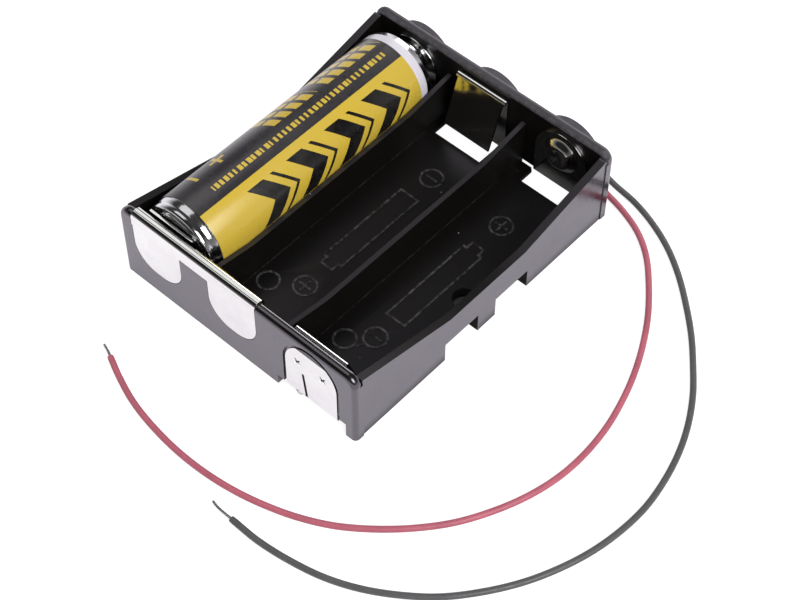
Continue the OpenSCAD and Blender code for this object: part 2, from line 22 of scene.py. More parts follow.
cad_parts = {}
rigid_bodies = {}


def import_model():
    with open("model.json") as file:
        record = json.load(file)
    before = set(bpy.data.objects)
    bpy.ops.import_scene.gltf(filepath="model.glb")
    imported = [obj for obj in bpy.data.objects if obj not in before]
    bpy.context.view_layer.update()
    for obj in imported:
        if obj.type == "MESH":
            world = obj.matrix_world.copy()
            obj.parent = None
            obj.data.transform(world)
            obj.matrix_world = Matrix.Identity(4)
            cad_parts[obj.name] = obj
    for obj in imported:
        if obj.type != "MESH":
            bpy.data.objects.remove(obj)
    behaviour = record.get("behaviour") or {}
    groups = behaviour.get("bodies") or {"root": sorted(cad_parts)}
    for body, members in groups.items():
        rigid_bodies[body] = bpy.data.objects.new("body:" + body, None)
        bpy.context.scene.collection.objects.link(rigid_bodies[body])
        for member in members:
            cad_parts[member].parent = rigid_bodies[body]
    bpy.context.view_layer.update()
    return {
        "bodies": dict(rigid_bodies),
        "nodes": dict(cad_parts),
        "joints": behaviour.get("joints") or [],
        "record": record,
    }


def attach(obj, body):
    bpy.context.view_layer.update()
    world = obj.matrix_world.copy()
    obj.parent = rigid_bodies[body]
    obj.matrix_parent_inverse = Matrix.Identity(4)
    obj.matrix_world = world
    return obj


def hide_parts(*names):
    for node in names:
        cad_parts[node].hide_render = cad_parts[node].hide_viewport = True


LOG = logging.getLogger("cell_holder")
Mesh = bpy.types.Mesh
Node = bpy.types.Node
Socket = bpy.types.NodeSocket
Colour = tuple[float, float, float]
Limits = tuple[float, float]
Point = tuple[float, float, float]
Window = tuple[float, float, float, float]

MM = 0.001
ROOT = "root"
SEAT_Y = -0.625  # the tray's middle in Y, from the middle of tray and bosses
MARK_REACH = 21.0  # half the length of the floor's field of raised marks
CREASE = 50.0  # angle in degrees past which the edge of a cell or a lead is sharp
CELL_X = -15.16  # the cell's axis
CELL_Z = 9.2
CELL_BASE = -25.0  # the cell's base in Y, from the tray's middle
CELL_RADIUS = 7.0
WHITE = (1.0, 1.0, 1.0)


class Grain(Enum):
    """How the fine structure of a metal runs."""

    ROLLED = (1.0, 1.0, 14.0)
    DRAWN = (1.0, 9.0, 1.0)
    EVEN = (1.0, 1.0, 1.0)


class Channel(Enum):
    """Light that a ray of the camera, of a reflection or of clear matter meets."""

    CAMERA = "Is Camera Ray"
    GLOSSY = "Is Glossy Ray"
    CLEAR = "Is Transmission Ray"


def metres(points: Iterable[Sequence[float]]) -> list[Vector]:
    """Turns points in millimetres, with y from the tray's middle, into metres of the row frame."""
    return [Vector((p[0], p[1] + SEAT_Y, p[2])) * MM for p in points]


def times(colour: Colour, factor: float) -> Colour:
    """Makes a colour lighter or darker by a factor."""
    return tuple(c * factor for c in colour)


def settle(shape: bmesh.types.BMesh, mesh: Mesh) -> Mesh:
    """Writes a finished shape into a mesh with smooth faces, and frees the shape.

    Args:
        shape: The finished shape.
        mesh: The mesh that takes it.

    Returns:
        The mesh.
    """
    shape.to_mesh(mesh)
    shape.free()
    mesh.shade_smooth()
    return mesh


def mesh_from(name: str, points: Sequence[Vector], faces: Sequence[Sequence[int]]) -> Mesh:
    """Makes a smooth mesh with outward faces.

    Args:
        name: The mesh's name.
        points: Its vertices, in metres.
        faces: Vertex numbers of each face.

    Returns:
        The mesh.
    """
    mesh = bpy.data.meshes.new(name)
    mesh.from_pydata([tuple(p) for p in points], [], [tuple(f) for f in faces])
    shape = bmesh.new()
    shape.from_mesh(mesh)
    bmesh.ops.recalc_face_normals(shape, faces=shape.faces)
    return settle(shape, mesh)


def finish_with(mesh: Mesh, material: bpy.types.Material) -> None:
    """Gives a mesh one finish in place of any other."""
    mesh.materials.clear()
    mesh.materials.append(material)


def link(name: str, mesh: Mesh) -> bpy.types.Object:
    """Puts a mesh into the scene as a piece that rides on the only body.

    Args:
        name: The piece's name.
        mesh: Its mesh, in the row frame.

    Returns:
        The new object.
    """
    piece = bpy.data.objects.new(name, mesh)
    bpy.context.scene.collection.objects.link(piece)
    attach(piece, ROOT)
    LOG.info("%s: %d vertices, %d faces", name, len(mesh.vertices), len(mesh.polygons))
    return piece


# ---------------------------------------------------------------- node tools


class Graph:
    """A node tree with short ways to add nodes and to join them."""

    def __init__(self, tree: bpy.types.NodeTree) -> None:
        """Takes the tree and empties it."""
        self.tree = tree
        tree.nodes.clear()

    def add(self, kind: str, **values: object) -> Node:
        """Adds a node and sets its properties.

        Args:
            kind: The node's type, without the leading "ShaderNode".
            **values: Properties of the node.

        Returns:
            The node.
        """
        prefix = "" if kind.startswith("NodeGroup") else "ShaderNode"
        node = self.tree.nodes.new(prefix + kind)
        for key, value in values.items():
            setattr(node, key, value)
        return node

    def feed(self, socket: Socket, value: object) -> None:
        """Joins an output to a socket, or sets the socket's own value.

        Args:
            socket: The socket.
            value: An output, a number or a colour.
        """
        if isinstance(value, Socket):
            self.tree.links.new(value, socket)
        else:
            socket.default_value = (*value, 1.0) if isinstance(value, tuple) else value

    def fill(self, node: Node, **values: object) -> Node:
        """Feeds inputs of a node.

        Args:
            node: The node.
            **values: Values of its inputs, with _ for a space in their names.

        Returns:
            The node.
        """
        for key, value in values.items():
            self.feed(node.inputs[key.replace("_", " ")], value)
        return node

    def effect(self, tree: bpy.types.NodeTree, **values: float) -> Node:
        """Puts a node group into the graph, with values for its inputs."""
        return self.fill(self.add("Group", node_tree=tree), **values)

    def math(self, operation: str, *values: object, clamp: bool = False) -> Socket:
        """Adds a Math node.

        Args:
            operation: The node's operation.
            *values: Outputs or numbers for its inputs.
            clamp: Whether the result is kept between 0 and 1.

        Returns:
            The node's output.
        """
        node = self.add("Math", operation=operation, use_clamp=clamp)
        for socket, value in zip(node.inputs, values):
            self.feed(socket, value)
        return node.outputs[0]

    def chain(self, operation: str, first: object, *others: object) -> Socket:
        """Joins any number of values by one operation, one after the other.

        Args:
            operation: The Math nodes' operation.
            first: An output or a number.
            *others: The values to join to it.

        Returns:
            The last node's output.
        """
        for value in others:
            first = self.math(operation, first, value)
        return first

    def band(self, value: Socket, low: float, high: float) -> Socket:
        """Gives 1 where a value lies between two limits."""
        return self.math("COMPARE", value, (low + high) / 2, (high - low) / 2)

    def between(self, value: Socket, low: float, high: float) -> Socket:
        """Gives 1 where a place lies between two limits in millimetres."""
        return self.band(value, low * MM, high * MM)

    def past(self, value: Socket, limit: float) -> Socket:
        """Gives 1 where a place lies past a limit in millimetres."""
        return self.math("GREATER_THAN", value, limit * MM)

    def before(self, value: Socket, limit: float) -> Socket:
        """Gives 1 where a place lies before a limit in millimetres."""
        return self.math("LESS_THAN", value, limit * MM)

    def ramp(self, value: Socket, start: float, slope: float) -> Socket:
        """Rises with a slope from 0 at a start up to 1."""
        return self.math("MULTIPLY", self.math("SUBTRACT", value, start), slope, clamp=True)

    def mix(self, mask: object, first: object, second: object) -> Socket:
        """Mixes two colours.

        Args:
            mask: 0 for the first colour, 1 for the second.
            first: The first colour.
            second: The second colour.

        Returns:
            The mixed colour.
        """
        node = self.add("Mix", data_type="RGBA")
        for number, value in ((0, mask), (6, first), (7, second)):  # 6 and 7 take colours
            self.feed(node.inputs[number], value)
        return node.outputs[2]

    def spread(self, value: object, low: float, high: float, start: float = 0.0, end: float = 1.0) -> Socket:
        """Maps a value that goes from a start to an end to two new limits."""
        node = self.fill(self.add("MapRange"), Value=value, From_Min=start, From_Max=end, To_Min=low, To_Max=high)
        return node.outputs["Result"]

    def axes(self, source: str, output: str) -> tuple[Socket, Socket, Socket]:
        """Gives X, Y and Z of a vector that a new node of some type puts out."""
        apart = self.fill(self.add("SeparateXYZ"), Vector=self.add(source).outputs[output])
        return tuple(apart.outputs)

    @cached_property
    def place(self) -> tuple[Socket, Socket, Socket]:
        """X, Y and Z of the place on the object."""
        return self.axes("TexCoord", "Object")

    @cached_property
    def facing(self) -> tuple[Socket, Socket, Socket]:
        """X, Y and Z of the normal."""
        return self.axes("NewGeometry", "Normal")

    def noise(self, place: Socket, scale: object, detail: float = 2.0) -> Socket:
        """Adds a noise in three dimensions and gives its value."""
        node = self.add("TexNoise", noise_dimensions="3D")
        return self.fill(node, Vector=place, Scale=scale, Detail=detail).outputs[0]


def group_tree(name: str, inputs: dict[str, float], outputs: Sequence[str]) -> tuple[Graph, Node, Node]:
    """Starts a node group with named inputs and outputs.

    Args:
        name: The group's name.
        inputs: Its float inputs and their defaults.
        outputs: Its float outputs.

    Returns:
        The graph, the node that gives the inputs and the one that takes the outputs.
    """
    tree = bpy.data.node_groups.new(name, "ShaderNodeTree")
    for key, value in inputs.items():
        socket = tree.interface.new_socket(key, in_out="INPUT", socket_type="NodeSocketFloat")
        socket.default_value = value
    for key in outputs:
        tree.interface.new_socket(key, in_out="OUTPUT", socket_type="NodeSocketFloat")
    graph = Graph(tree)
    return graph, graph.add("NodeGroupInput"), graph.add("NodeGroupOutput")


class Paint(Graph):
    """The node tree of a material with a Principled shader."""

    def __init__(self, name: str) -> None:
        """Makes the material and its shader.

        Args:
            name: The material's name.
        """
        self.material = bpy.data.materials.new(name)
        self.material.use_nodes = True
        super().__init__(self.material.node_tree)
        self.shader = self.add("BsdfPrincipled")
        self.feed(self.add("OutputMaterial").inputs["Surface"], self.shader.outputs[0])

    def shade(self, **values: object) -> None:
        """Feeds the shader's inputs, with _ for a space in their names."""
        self.fill(self.shader, **values)

    def relief(self, height: Socket, depth: float) -> None:
        """Gives the shader a fine relief of a depth in metres."""
        bump = self.fill(self.add("Bump"), Distance=depth, Strength=1.0, Height=height)
        self.shade(Normal=bump.outputs[0])


@dataclass
class SharedEffects:
    """The node groups that more than one finish uses.

    Attributes:
        rub_finer: How many times finer rub marks are than smudges.
        marks_from: Noise below which there is no handling mark, and its slope above.
        pores_from: The same of the grain's mask.
        dust_up: Least upward part of the normal where dust lies.
    """

    rub_finer: float = 9.0
    rub_share: float = 0.3
    marks_from: Limits = (0.4, 4.0)
    pores_from: Limits = (0.35, 3.0)
    dust_up: float = 0.6

    def __post_init__(self) -> None:
        """Builds each group once."""
        self.handling = self._handling()
        self.dust = self._dust()
        self.grain = self._grain()

    def _handling(self) -> bpy.types.NodeTree:
        """Makes smudges and faint rub marks, as a mask.

        Returns:
            The group.
        """
        graph, given, taken = group_tree("handling_marks", {"Scale": 120.0, "Amount": 0.5}, ["Mask"])
        place = graph.add("TexCoord").outputs["Object"]
        scale = given.outputs["Scale"]
        smudge = graph.math("MULTIPLY", graph.noise(place, scale, 4.0), 1.0 - self.rub_share)
        rub = graph.noise(place, graph.math("MULTIPLY", scale, self.rub_finer))
        both = graph.math("ADD", smudge, graph.math("MULTIPLY", rub, self.rub_share))
        mask = graph.math("MULTIPLY", graph.ramp(both, *self.marks_from), given.outputs["Amount"])
        graph.fill(taken, Mask=mask)
        return graph.tree

    def _dust(self) -> bpy.types.NodeTree:
        """Makes small specks that lie on surfaces that face up, as a mask.

        Returns:
            The group.
        """
        names = {"Scale": 900.0, "Size": 0.12, "Share": 0.1}
        graph, given, taken = group_tree("dust_specks", names, ["Mask"])
        cells = graph.add("TexVoronoi", voronoi_dimensions="3D")
        graph.fill(cells, Vector=graph.add("TexCoord").outputs["Object"], Scale=given.outputs["Scale"])
        chance = graph.add("TexWhiteNoise", noise_dimensions="3D")
        graph.fill(chance, Vector=cells.outputs["Position"])
        near = graph.math("LESS_THAN", cells.outputs["Distance"], given.outputs["Size"])
        chosen = graph.math("LESS_THAN", chance.outputs["Value"], given.outputs["Share"])
        up = graph.math("GREATER_THAN", graph.facing[2], self.dust_up)
        graph.fill(taken, Mask=graph.chain("MULTIPLY", near, chosen, up))
        return graph.tree

    def _grain(self) -> bpy.types.NodeTree:
        """Makes the fine structure of a surface, as a height and a mask, longer along one axis.

        Returns:
            The group.
        """
        names = {"Scale": 700.0, "Across X": 1.0, "Across Y": 1.0, "Across Z": 1.0}
        graph, given, taken = group_tree("surface_grain", names, ["Height", "Mask"])
        stretch = graph.add("CombineXYZ")
        for axis in "XYZ":
            graph.feed(stretch.inputs[axis], given.outputs["Across " + axis])
        scaled = graph.add("VectorMath", operation="MULTIPLY")
        graph.feed(scaled.inputs[0], graph.add("TexCoord").outputs["Object"])
        graph.feed(scaled.inputs[1], stretch.outputs[0])
        height = graph.noise(scaled.outputs[0], given.outputs["Scale"], 3.0)
        graph.fill(taken, Height=height, Mask=graph.ramp(height, *self.pores_from))
        return graph.tree


# ---------------------------------------------------------------- finishes


@dataclass(frozen=True)
class Finish:
    """What every finish has: its material's name."""

    name: str

    def build(self, effects: SharedEffects) -> bpy.types.Material:
        """Makes the material.

        Args:
            effects: The shared node groups.

        Returns:
            The material.
        """
        paint = Paint(self.name)
        self.dress(paint, effects)
        return paint.material

    def dress(self, graph: Paint, effects: SharedEffects) -> None:
        """Feeds the material's shader; each finish has its own way."""
        raise NotImplementedError


@dataclass(frozen=True)
class MouldedPlastic(Finish):
    """Black moulded plastic with rub marks, a little dust, and painted sheen, highlights and glints.

    Attributes:
        rim_sheen: Colour and roughness of the far wall's matt top, whose lighter colour is a painted sheen.
        edge: The same of the upper edges, lighter from rub wear and painted highlights.
        scuff_and_glint: The same of the raised marks, lighter from scuffs and painted glints.
        speck: The same of dust.
        coat: Weight of the glossy skin, none for a satin finish.
        rim_from: Y and Z past which the matt top lies.
        rim_ramp: Upward part of the normal from which it shows, and its slope above.
        edge_from: Y and Z past which edges get this lighter colour.
        edge_tilt: Limits of the upward part of their normal.
        divider_reach: How far from the middle, in X, the dividers' tops are lightened too.
        divider_share: How much they are.
    """

    colour: Colour = (0.0045, 0.0040, 0.0032)
    # The colour below, lighter than the moulding, is a painted sheen on the far wall's top.
    rim_sheen: tuple[Colour, float] = ((0.050, 0.047, 0.051), 0.6)
    # The edge colour below stands for rub wear and a painted highlight.
    edge: tuple[Colour, float] = ((0.085, 0.080, 0.088), 0.45)
    # The colour below stands for scuffs and a painted glint on the raised marks.
    scuff_and_glint: tuple[Colour, float] = ((0.085, 0.083, 0.082), 0.5)
    speck: tuple[Colour, float] = ((0.20, 0.20, 0.19), 0.8)
    reflected: Colour = (0.95, 0.88, 1.0)
    roughness: Limits = (0.14, 0.30)
    least_roughness: float = 0.0
    specular: float = 0.5
    refraction: float = 2.05
    coat: float = 0.4
    coat_roughness: float = 0.12
    depth: float = 0.000004
    mark_heights: Limits = (2.125, 2.24)
    rim_from: Limits = (26.0, 12.0)
    rim_ramp: Limits = (0.1, 2.0)
    edge_from: Limits = (-27.4, 8.2)
    edge_tilt: Limits = (0.25, 0.93)
    divider_reach: float = 9.0
    divider_level: float = 0.9
    divider_share: float = 0.22
    smudged: float = 1.3

    def dress(self, graph: Paint, effects: SharedEffects) -> None:
        """Feeds the material's shader.

        Args:
            graph: The material's graph.
            effects: The shared node groups.
        """
        marks = graph.effect(effects.handling, Scale=170.0, Amount=1.0).outputs["Mask"]
        dust = graph.effect(effects.dust, Scale=620.0, Size=0.09, Share=0.10).outputs["Mask"]
        grain = graph.effect(effects.grain, Scale=420.0).outputs["Height"]
        broken = graph.effect(effects.grain, Scale=1500.0).outputs["Mask"]
        rim_sheen_mask, edges, scuff_and_glint_mask = self._worn_and_lit_places(graph, broken)
        colour = graph.mix(marks, self.colour, times(self.colour, self.smudged))
        rough = graph.math("MAXIMUM", graph.spread(marks, *self.roughness), self.least_roughness)
        # Dust, and the lighter colours of painted sheen, highlights and glints with their wear.
        for mask, (worn, matt) in ((rim_sheen_mask, self.rim_sheen), (edges, self.edge), (scuff_and_glint_mask, self.scuff_and_glint), (dust, self.speck)):
            colour = graph.mix(mask, colour, worn)
            rough = graph.math("MAXIMUM", rough, graph.math("MULTIPLY", mask, matt))
        graph.shade(Base_Color=colour, Roughness=rough, IOR=self.refraction,
                    Specular_Tint=self.reflected, Specular_IOR_Level=self.specular)
        if self.coat:
            skin = graph.math("MULTIPLY_ADD", rim_sheen_mask, -self.coat, self.coat)
            graph.shade(Coat_Weight=skin, Coat_Roughness=self.coat_roughness)
        graph.relief(grain, self.depth)

    def _worn_and_lit_places(self, graph: Graph, broken: Socket) -> tuple[Socket, Socket, Socket]:
        """Gives the masks of the places painted lighter, by wear and by painted sheen, highlights and glints.

        Args:
            graph: The material's graph.
            broken: A fine mask that breaks up the lightened edges and raised marks.

        Returns:
            The masks of the far wall's top with its painted sheen, the edges with rub wear and painted highlights,
            and the raised marks with scuffs and painted glints.
        """
        x, y, z = graph.place
        up = graph.facing[2]
        # The raised marks on the floor, which get scuffs and painted glints.
        raised = graph.between(z, *self.mark_heights)
        inside = graph.between(y, SEAT_Y - MARK_REACH, SEAT_Y + MARK_REACH)
        scuff_and_glint_mask = graph.chain("MULTIPLY", raised, inside, broken)
        # The far wall's top, which gets a painted sheen.
        far, upper = graph.past(y, self.rim_from[0]), graph.past(z, self.rim_from[1])
        rim_sheen_mask = graph.chain("MULTIPLY", far, upper, graph.ramp(up, *self.rim_ramp))
        # Edges that face partly up, and the dividers' tops, lightened by rub wear and painted highlights.
        past, high = graph.past(y, self.edge_from[0]), graph.past(z, self.edge_from[1])
        edges = graph.chain("MULTIPLY", past, high, graph.band(up, *self.edge_tilt), broken)
        middle = graph.between(x, -self.divider_reach, self.divider_reach)
        level = graph.math("GREATER_THAN", up, self.divider_level)
        tops = graph.chain("MULTIPLY", middle, high, level, past, self.divider_share)
        return rim_sheen_mask, graph.math("MAXIMUM", edges, tops), scuff_and_glint_mask


@dataclass(frozen=True)
class SheetMetal(Finish):
    """Bright plated metal with a rolled or drawn structure.

    Attributes:
        darkened_share: Share of the colour that is left in the darkened band and in the painted shade.
        grain_share: Share of the grain in the roughness; handling marks have the rest.
        stamped: Limits in Y of a band just behind the plates' outer face, over their stamped marks and cut edges,
            which is darkened.
        stamped_below: Height up to which they reach.
        shaded_fold: X, Y and two values of Z that bound the fold in the outer right bay,
        whose side towards the wall gets a painted shade.
        domed_from: Y and Z past which the fold over the near wall is domed.
        domed_slope: Slope of the fold's top towards the outside.
    """

    colour: Colour = (0.93, 0.94, 0.90)
    shade: Colour = (0.80, 0.79, 0.80)
    roughness: Limits = (0.06, 0.17)
    grain: Grain = Grain.ROLLED
    scale: float = 260.0
    depth: float = 0.000003
    darkened_share: float = 0.12
    grain_share: float = 0.4
    stamped: Limits = (-29.33, -29.10)
    stamped_below: float = 13.6
    shaded_fold: Window = (8.0, -25.0, 12.4, 13.6)
    shaded_fold_facing: float = 0.05
    domed_from: Limits = (-26.0, 14.75)
    domed_level: float = 0.97
    domed_slope: float = 0.21

    def dress(self, graph: Paint, effects: SharedEffects) -> None:
        """Feeds the material's shader.

        Args:
            graph: The material's graph.
            effects: The shared node groups.
        """
        x, y, z = self.grain.value
        grain = graph.effect(effects.grain, Scale=self.scale, Across_X=x, Across_Y=y, Across_Z=z)
        marks = graph.effect(effects.handling, Scale=210.0, Amount=0.5).outputs["Mask"]
        colour = graph.mix(marks, self.colour, self.shade)
        # Darkens a band behind the plates' outer face, and paints shade on one fold's side towards the wall.
        colour = graph.mix(self._darkened_places(graph), colour, times(self.shade, self.darkened_share))
        fine = graph.math("MULTIPLY", grain.outputs["Mask"], self.grain_share)
        rough = graph.math("ADD", fine, graph.math("MULTIPLY", marks, 1.0 - self.grain_share))
        graph.shade(Base_Color=colour, Roughness=graph.spread(rough, *self.roughness), Metallic=1.0)
        graph.relief(graph.math("ADD", grain.outputs["Height"], self._dome(graph)), self.depth)

    def _darkened_places(self, graph: Graph) -> Socket:
        """Gives the mask of a darkened band behind the plates' outer face, over stamped marks and cut edges, and of
        the painted shade on one side of a fold.

        Args:
            graph: The material's graph.

        Returns:
            The mask.
        """
        x, y, z = graph.place
        # A darkened band just behind the plates' outer face, below a height.
        cut = graph.math("MULTIPLY", graph.between(y, *self.stamped), graph.before(z, self.stamped_below))
        # Painted shade on the side of the outer right bay's fold that faces the wall.
        bay, near = graph.past(x, self.shaded_fold[0]), graph.before(y, self.shaded_fold[1])
        fold = graph.between(z, *self.shaded_fold[2:])
        back = graph.math("LESS_THAN", graph.facing[1], self.shaded_fold_facing)
        return graph.math("MAXIMUM", cut, graph.chain("MULTIPLY", bay, near, fold, back))

    def _dome(self, graph: Graph) -> Socket:
        """Gives the height that tips the level top of the fold over the near wall outwards.

        Args:
            graph: The material's graph.

        Returns:
            The height, in depths of the grain.
        """
        _, y, z = graph.place
        level = graph.math("GREATER_THAN", graph.facing[2], self.domed_level)
        near, high = graph.before(y, self.domed_from[0]), graph.past(z, self.domed_from[1])
        rise = graph.math("SUBTRACT", y, self.domed_from[0] * MM)
        rise = graph.math("MULTIPLY", rise, self.domed_slope / self.depth)
        return graph.chain("MULTIPLY", level, near, high, rise)


@dataclass(frozen=True)
class LeadSleeve(Finish):
    """Soft PVC insulation with a slight extrusion grain."""

    colour: Colour = (0.3, 0.3, 0.3)
    smudged: float = 0.8
    roughness: Limits = (0.32, 0.5)
    depth: float = 0.000006

    def dress(self, graph: Paint, effects: SharedEffects) -> None:
        """Feeds the material's shader.

        Args:
            graph: The material's graph.
            effects: The shared node groups.
        """
        grain = graph.effect(effects.grain, Scale=900.0)
        marks = graph.effect(effects.handling, Scale=210.0, Amount=0.9).outputs["Mask"]
        rough = graph.spread(grain.outputs["Mask"], *self.roughness)
        colour = graph.mix(marks, self.colour, times(self.colour, self.smudged))
        graph.shade(Base_Color=colour, Roughness=rough)
        graph.relief(grain.outputs["Height"], self.depth)


@dataclass
class Artwork:
    """The plain shapes printed on the cell's sleeve, on the can unrolled.

    Here u is the arc in millimetres from the line between the two fields, up over the
    top, and v the distance in millimetres from the cell's base.  A slope is in v for each
    millimetre of u, and a window has its limits in u and then in v.

    Attributes:
        dash_share: How much of the pitch a dash takes by chance, and at least.
        signs: Windows of the bars of a plus and, nearer to the base, of a minus.
        chevron_spine: Where the chevrons' points lie, in u.
        chevron_bars: Limits of the thick and the thin chevron in a pair.
    """

    graph: Graph
    u: Socket
    v: Socket
    block_pitch: float = 2.35
    block_slant: float = 0.35
    block_share: float = 0.66
    block_rows: tuple[Limits, Limits] = ((4.2, 6.3), (6.8, 8.6))
    block_parts: tuple[Limits, Limits] = ((23.5, 33.0), (35.2, 47.1))
    dash_pitch: float = 0.95
    dash_share: Limits = (0.5, 0.35)
    dash_window: Window = (1.6, 2.6, 7.0, 44.5)
    signs: tuple[Window, ...] = (
        (5.2, 8.0, 11.6, 12.2), (6.3, 6.9, 10.5, 13.3), (5.2, 8.0, 6.6, 7.2))
    chevron_pitch: float = 8.2
    chevron_start: float = 13.6
    chevron_spine: float = -5.2
    chevron_slope: float = 0.9
    chevron_bars: tuple[Limits, Limits] = ((0.4, 3.7), (5.1, 5.8))
    chevron_row: Limits = (-8.8, -1.5)
    chevron_count: float = 4.0

    def _window(self, left: float, right: float, low: float, high: float) -> Socket:
        """Gives 1 in a window of u and v."""
        return self.graph.math("MULTIPLY", self.graph.band(self.u, left, right), self.graph.band(self.v, low, high))

    def _either(self, value: Socket, bands: Iterable[Limits]) -> Socket:
        """Gives 1 where a value lies in one of several bands."""
        return self.graph.chain("MAXIMUM", *(self.graph.band(value, *limits) for limits in bands))

    def blocks(self) -> Socket:
        """Draws two rows of slanted yellow blocks on black.

        Returns:
            The mask.
        """
        graph = self.graph
        slant = graph.math("ADD", self.v, graph.math("MULTIPLY", self.u, self.block_slant))
        step = graph.math("FRACT", graph.math("DIVIDE", slant, self.block_pitch))
        bars = graph.math("LESS_THAN", step, self.block_share)
        rows = self._either(self.u, self.block_rows)
        return graph.chain("MULTIPLY", bars, rows, self._either(slant, self.block_parts))

    def dashes(self) -> Socket:
        """Draws a thin broken line of yellow on black.

        Returns:
            The mask.
        """
        graph = self.graph
        run = graph.math("DIVIDE", self.v, self.dash_pitch)
        chance = graph.add("TexWhiteNoise", noise_dimensions="1D")
        graph.fill(chance, W=graph.math("FLOOR", run))
        width = graph.math("MULTIPLY_ADD", chance.outputs["Value"], *self.dash_share)
        dash = graph.math("LESS_THAN", graph.math("FRACT", run), width)
        return graph.math("MULTIPLY", dash, self._window(*self.dash_window))

    def poles(self) -> Socket:
        """Draws the pole signs in yellow on black."""
        return self.graph.chain("MAXIMUM", *(self._window(*bar) for bar in self.signs))

    def chevrons(self) -> Socket:
        """Draws black chevrons on yellow that point to the nub, each with a thin one behind it.

        Returns:
            The mask.
        """
        graph = self.graph
        off = graph.math("ABSOLUTE", graph.math("SUBTRACT", self.u, self.chevron_spine))
        bent = graph.math("ADD", self.v, graph.math("MULTIPLY", off, self.chevron_slope))
        count = graph.math("DIVIDE", graph.math("SUBTRACT", bent, self.chevron_start), self.chevron_pitch)
        wave = graph.math("MULTIPLY", graph.math("FRACT", count), self.chevron_pitch)
        row, along = graph.band(self.u, *self.chevron_row), graph.band(count, 0.0, self.chevron_count)
        return graph.chain("MULTIPLY", self._either(wave, self.chevron_bars), row, along)


@dataclass(frozen=True)
class PrintedSleeve(Finish):
    """Printed sleeve of the cell: a yellow and a black field with plain shapes.

    Attributes:
        seam_deg: Angle on the can of the line between the two fields.
        yellow_width: Arc of the yellow field.
        pale_from: Distance from the base past which the sleeve is pale.
    """

    seam_deg: float = 68.0
    yellow_width: float = 17.0
    black: Colour = (0.034, 0.030, 0.034)
    letter_black: Colour = (0.005, 0.004, 0.004)
    yellow: Colour = (0.64, 0.45, 0.045)
    pale: Colour = (0.72, 0.69, 0.76)
    pale_from: float = 46.0
    worn: Colour = (0.5, 0.48, 0.44)
    worn_share: float = 0.05
    roughness: Limits = (0.26, 0.36)
    coat: float = 0.35
    coat_roughness: float = 0.22
    ink_depth: float = 0.00001

    def dress(self, graph: Paint, effects: SharedEffects) -> None:
        """Feeds the material's shader.

        Args:
            graph: The material's graph.
            effects: The shared node groups.
        """
        art = Artwork(graph, *self._unrolled(graph))
        field_mask = graph.band(art.u, -self.yellow_width, 0.0)
        on_black = graph.chain("MAXIMUM", art.blocks(), art.dashes(), art.poles())
        on_black = graph.math("MULTIPLY", graph.math("SUBTRACT", 1.0, field_mask), on_black)
        ink = graph.math("SUBTRACT", field_mask, graph.math("MULTIPLY", field_mask, art.chevrons()))
        ink = graph.math("ADD", ink, on_black, clamp=True)
        marks = graph.effect(effects.handling, Scale=150.0, Amount=0.7).outputs["Mask"]
        colour = graph.mix(ink, graph.mix(field_mask, self.black, self.letter_black), self.yellow)
        colour = graph.mix(graph.math("GREATER_THAN", art.v, self.pale_from), colour, self.pale)
        colour = graph.mix(graph.math("MULTIPLY", marks, self.worn_share), colour, self.worn)
        graph.shade(Base_Color=colour, Roughness=graph.spread(marks, *self.roughness),
                    Coat_Weight=self.coat, Coat_Roughness=self.coat_roughness)
        graph.relief(ink, self.ink_depth)

    def _unrolled(self, graph: Graph) -> tuple[Socket, Socket]:
        """Unrolls the can.

        Args:
            graph: The material's graph.

        Returns:
            The arc and the distance from the base, in millimetres.
        """
        x, y, z = graph.place
        dx = graph.math("SUBTRACT", x, CELL_X * MM)
        dz = graph.math("SUBTRACT", z, CELL_Z * MM)
        turn = graph.math("SUBTRACT", graph.math("ARCTAN2", dz, dx), math.radians(self.seam_deg))
        along = graph.math("SUBTRACT", y, (CELL_BASE + SEAT_Y) * MM)
        return graph.math("MULTIPLY", turn, CELL_RADIUS), graph.math("MULTIPLY", along, 1.0 / MM)


@dataclass
class Finishes:
    """Every finish of the object, made once."""

    effects: SharedEffects = field(default_factory=SharedEffects)

    def __post_init__(self) -> None:
        """Makes the materials."""
        satin = MouldedPlastic("satin_moulding", least_roughness=0.31, specular=0.2, coat=0.0)
        can = SheetMetal("can_steel", colour=(0.74, 0.74, 0.76), grain=Grain.DRAWN, roughness=(0.10, 0.28))
        strand = SheetMetal("tinned_strand", colour=(0.66, 0.65, 0.63), grain=Grain.EVEN, scale=900.0)
        solder = SheetMetal("solder", colour=(0.70, 0.70, 0.71), grain=Grain.EVEN, roughness=(0.12, 0.35))
        self.plastic = MouldedPlastic("black_moulding").build(self.effects)
        self.satin = satin.build(self.effects)
        self.nickel = SheetMetal("nickel_sheet").build(self.effects)
        self.steel = can.build(self.effects)
        self.label = PrintedSleeve("printed_sleeve").build(self.effects)
        self.red = LeadSleeve("red_sleeve", colour=(0.52, 0.125, 0.175)).build(self.effects)
        self.black = LeadSleeve("black_sleeve", colour=(0.105, 0.102, 0.106)).build(self.effects)
        self.strand = strand.build(self.effects)
        self.solder = solder.build(self.effects)


# ---------------------------------------------------------------- pieces


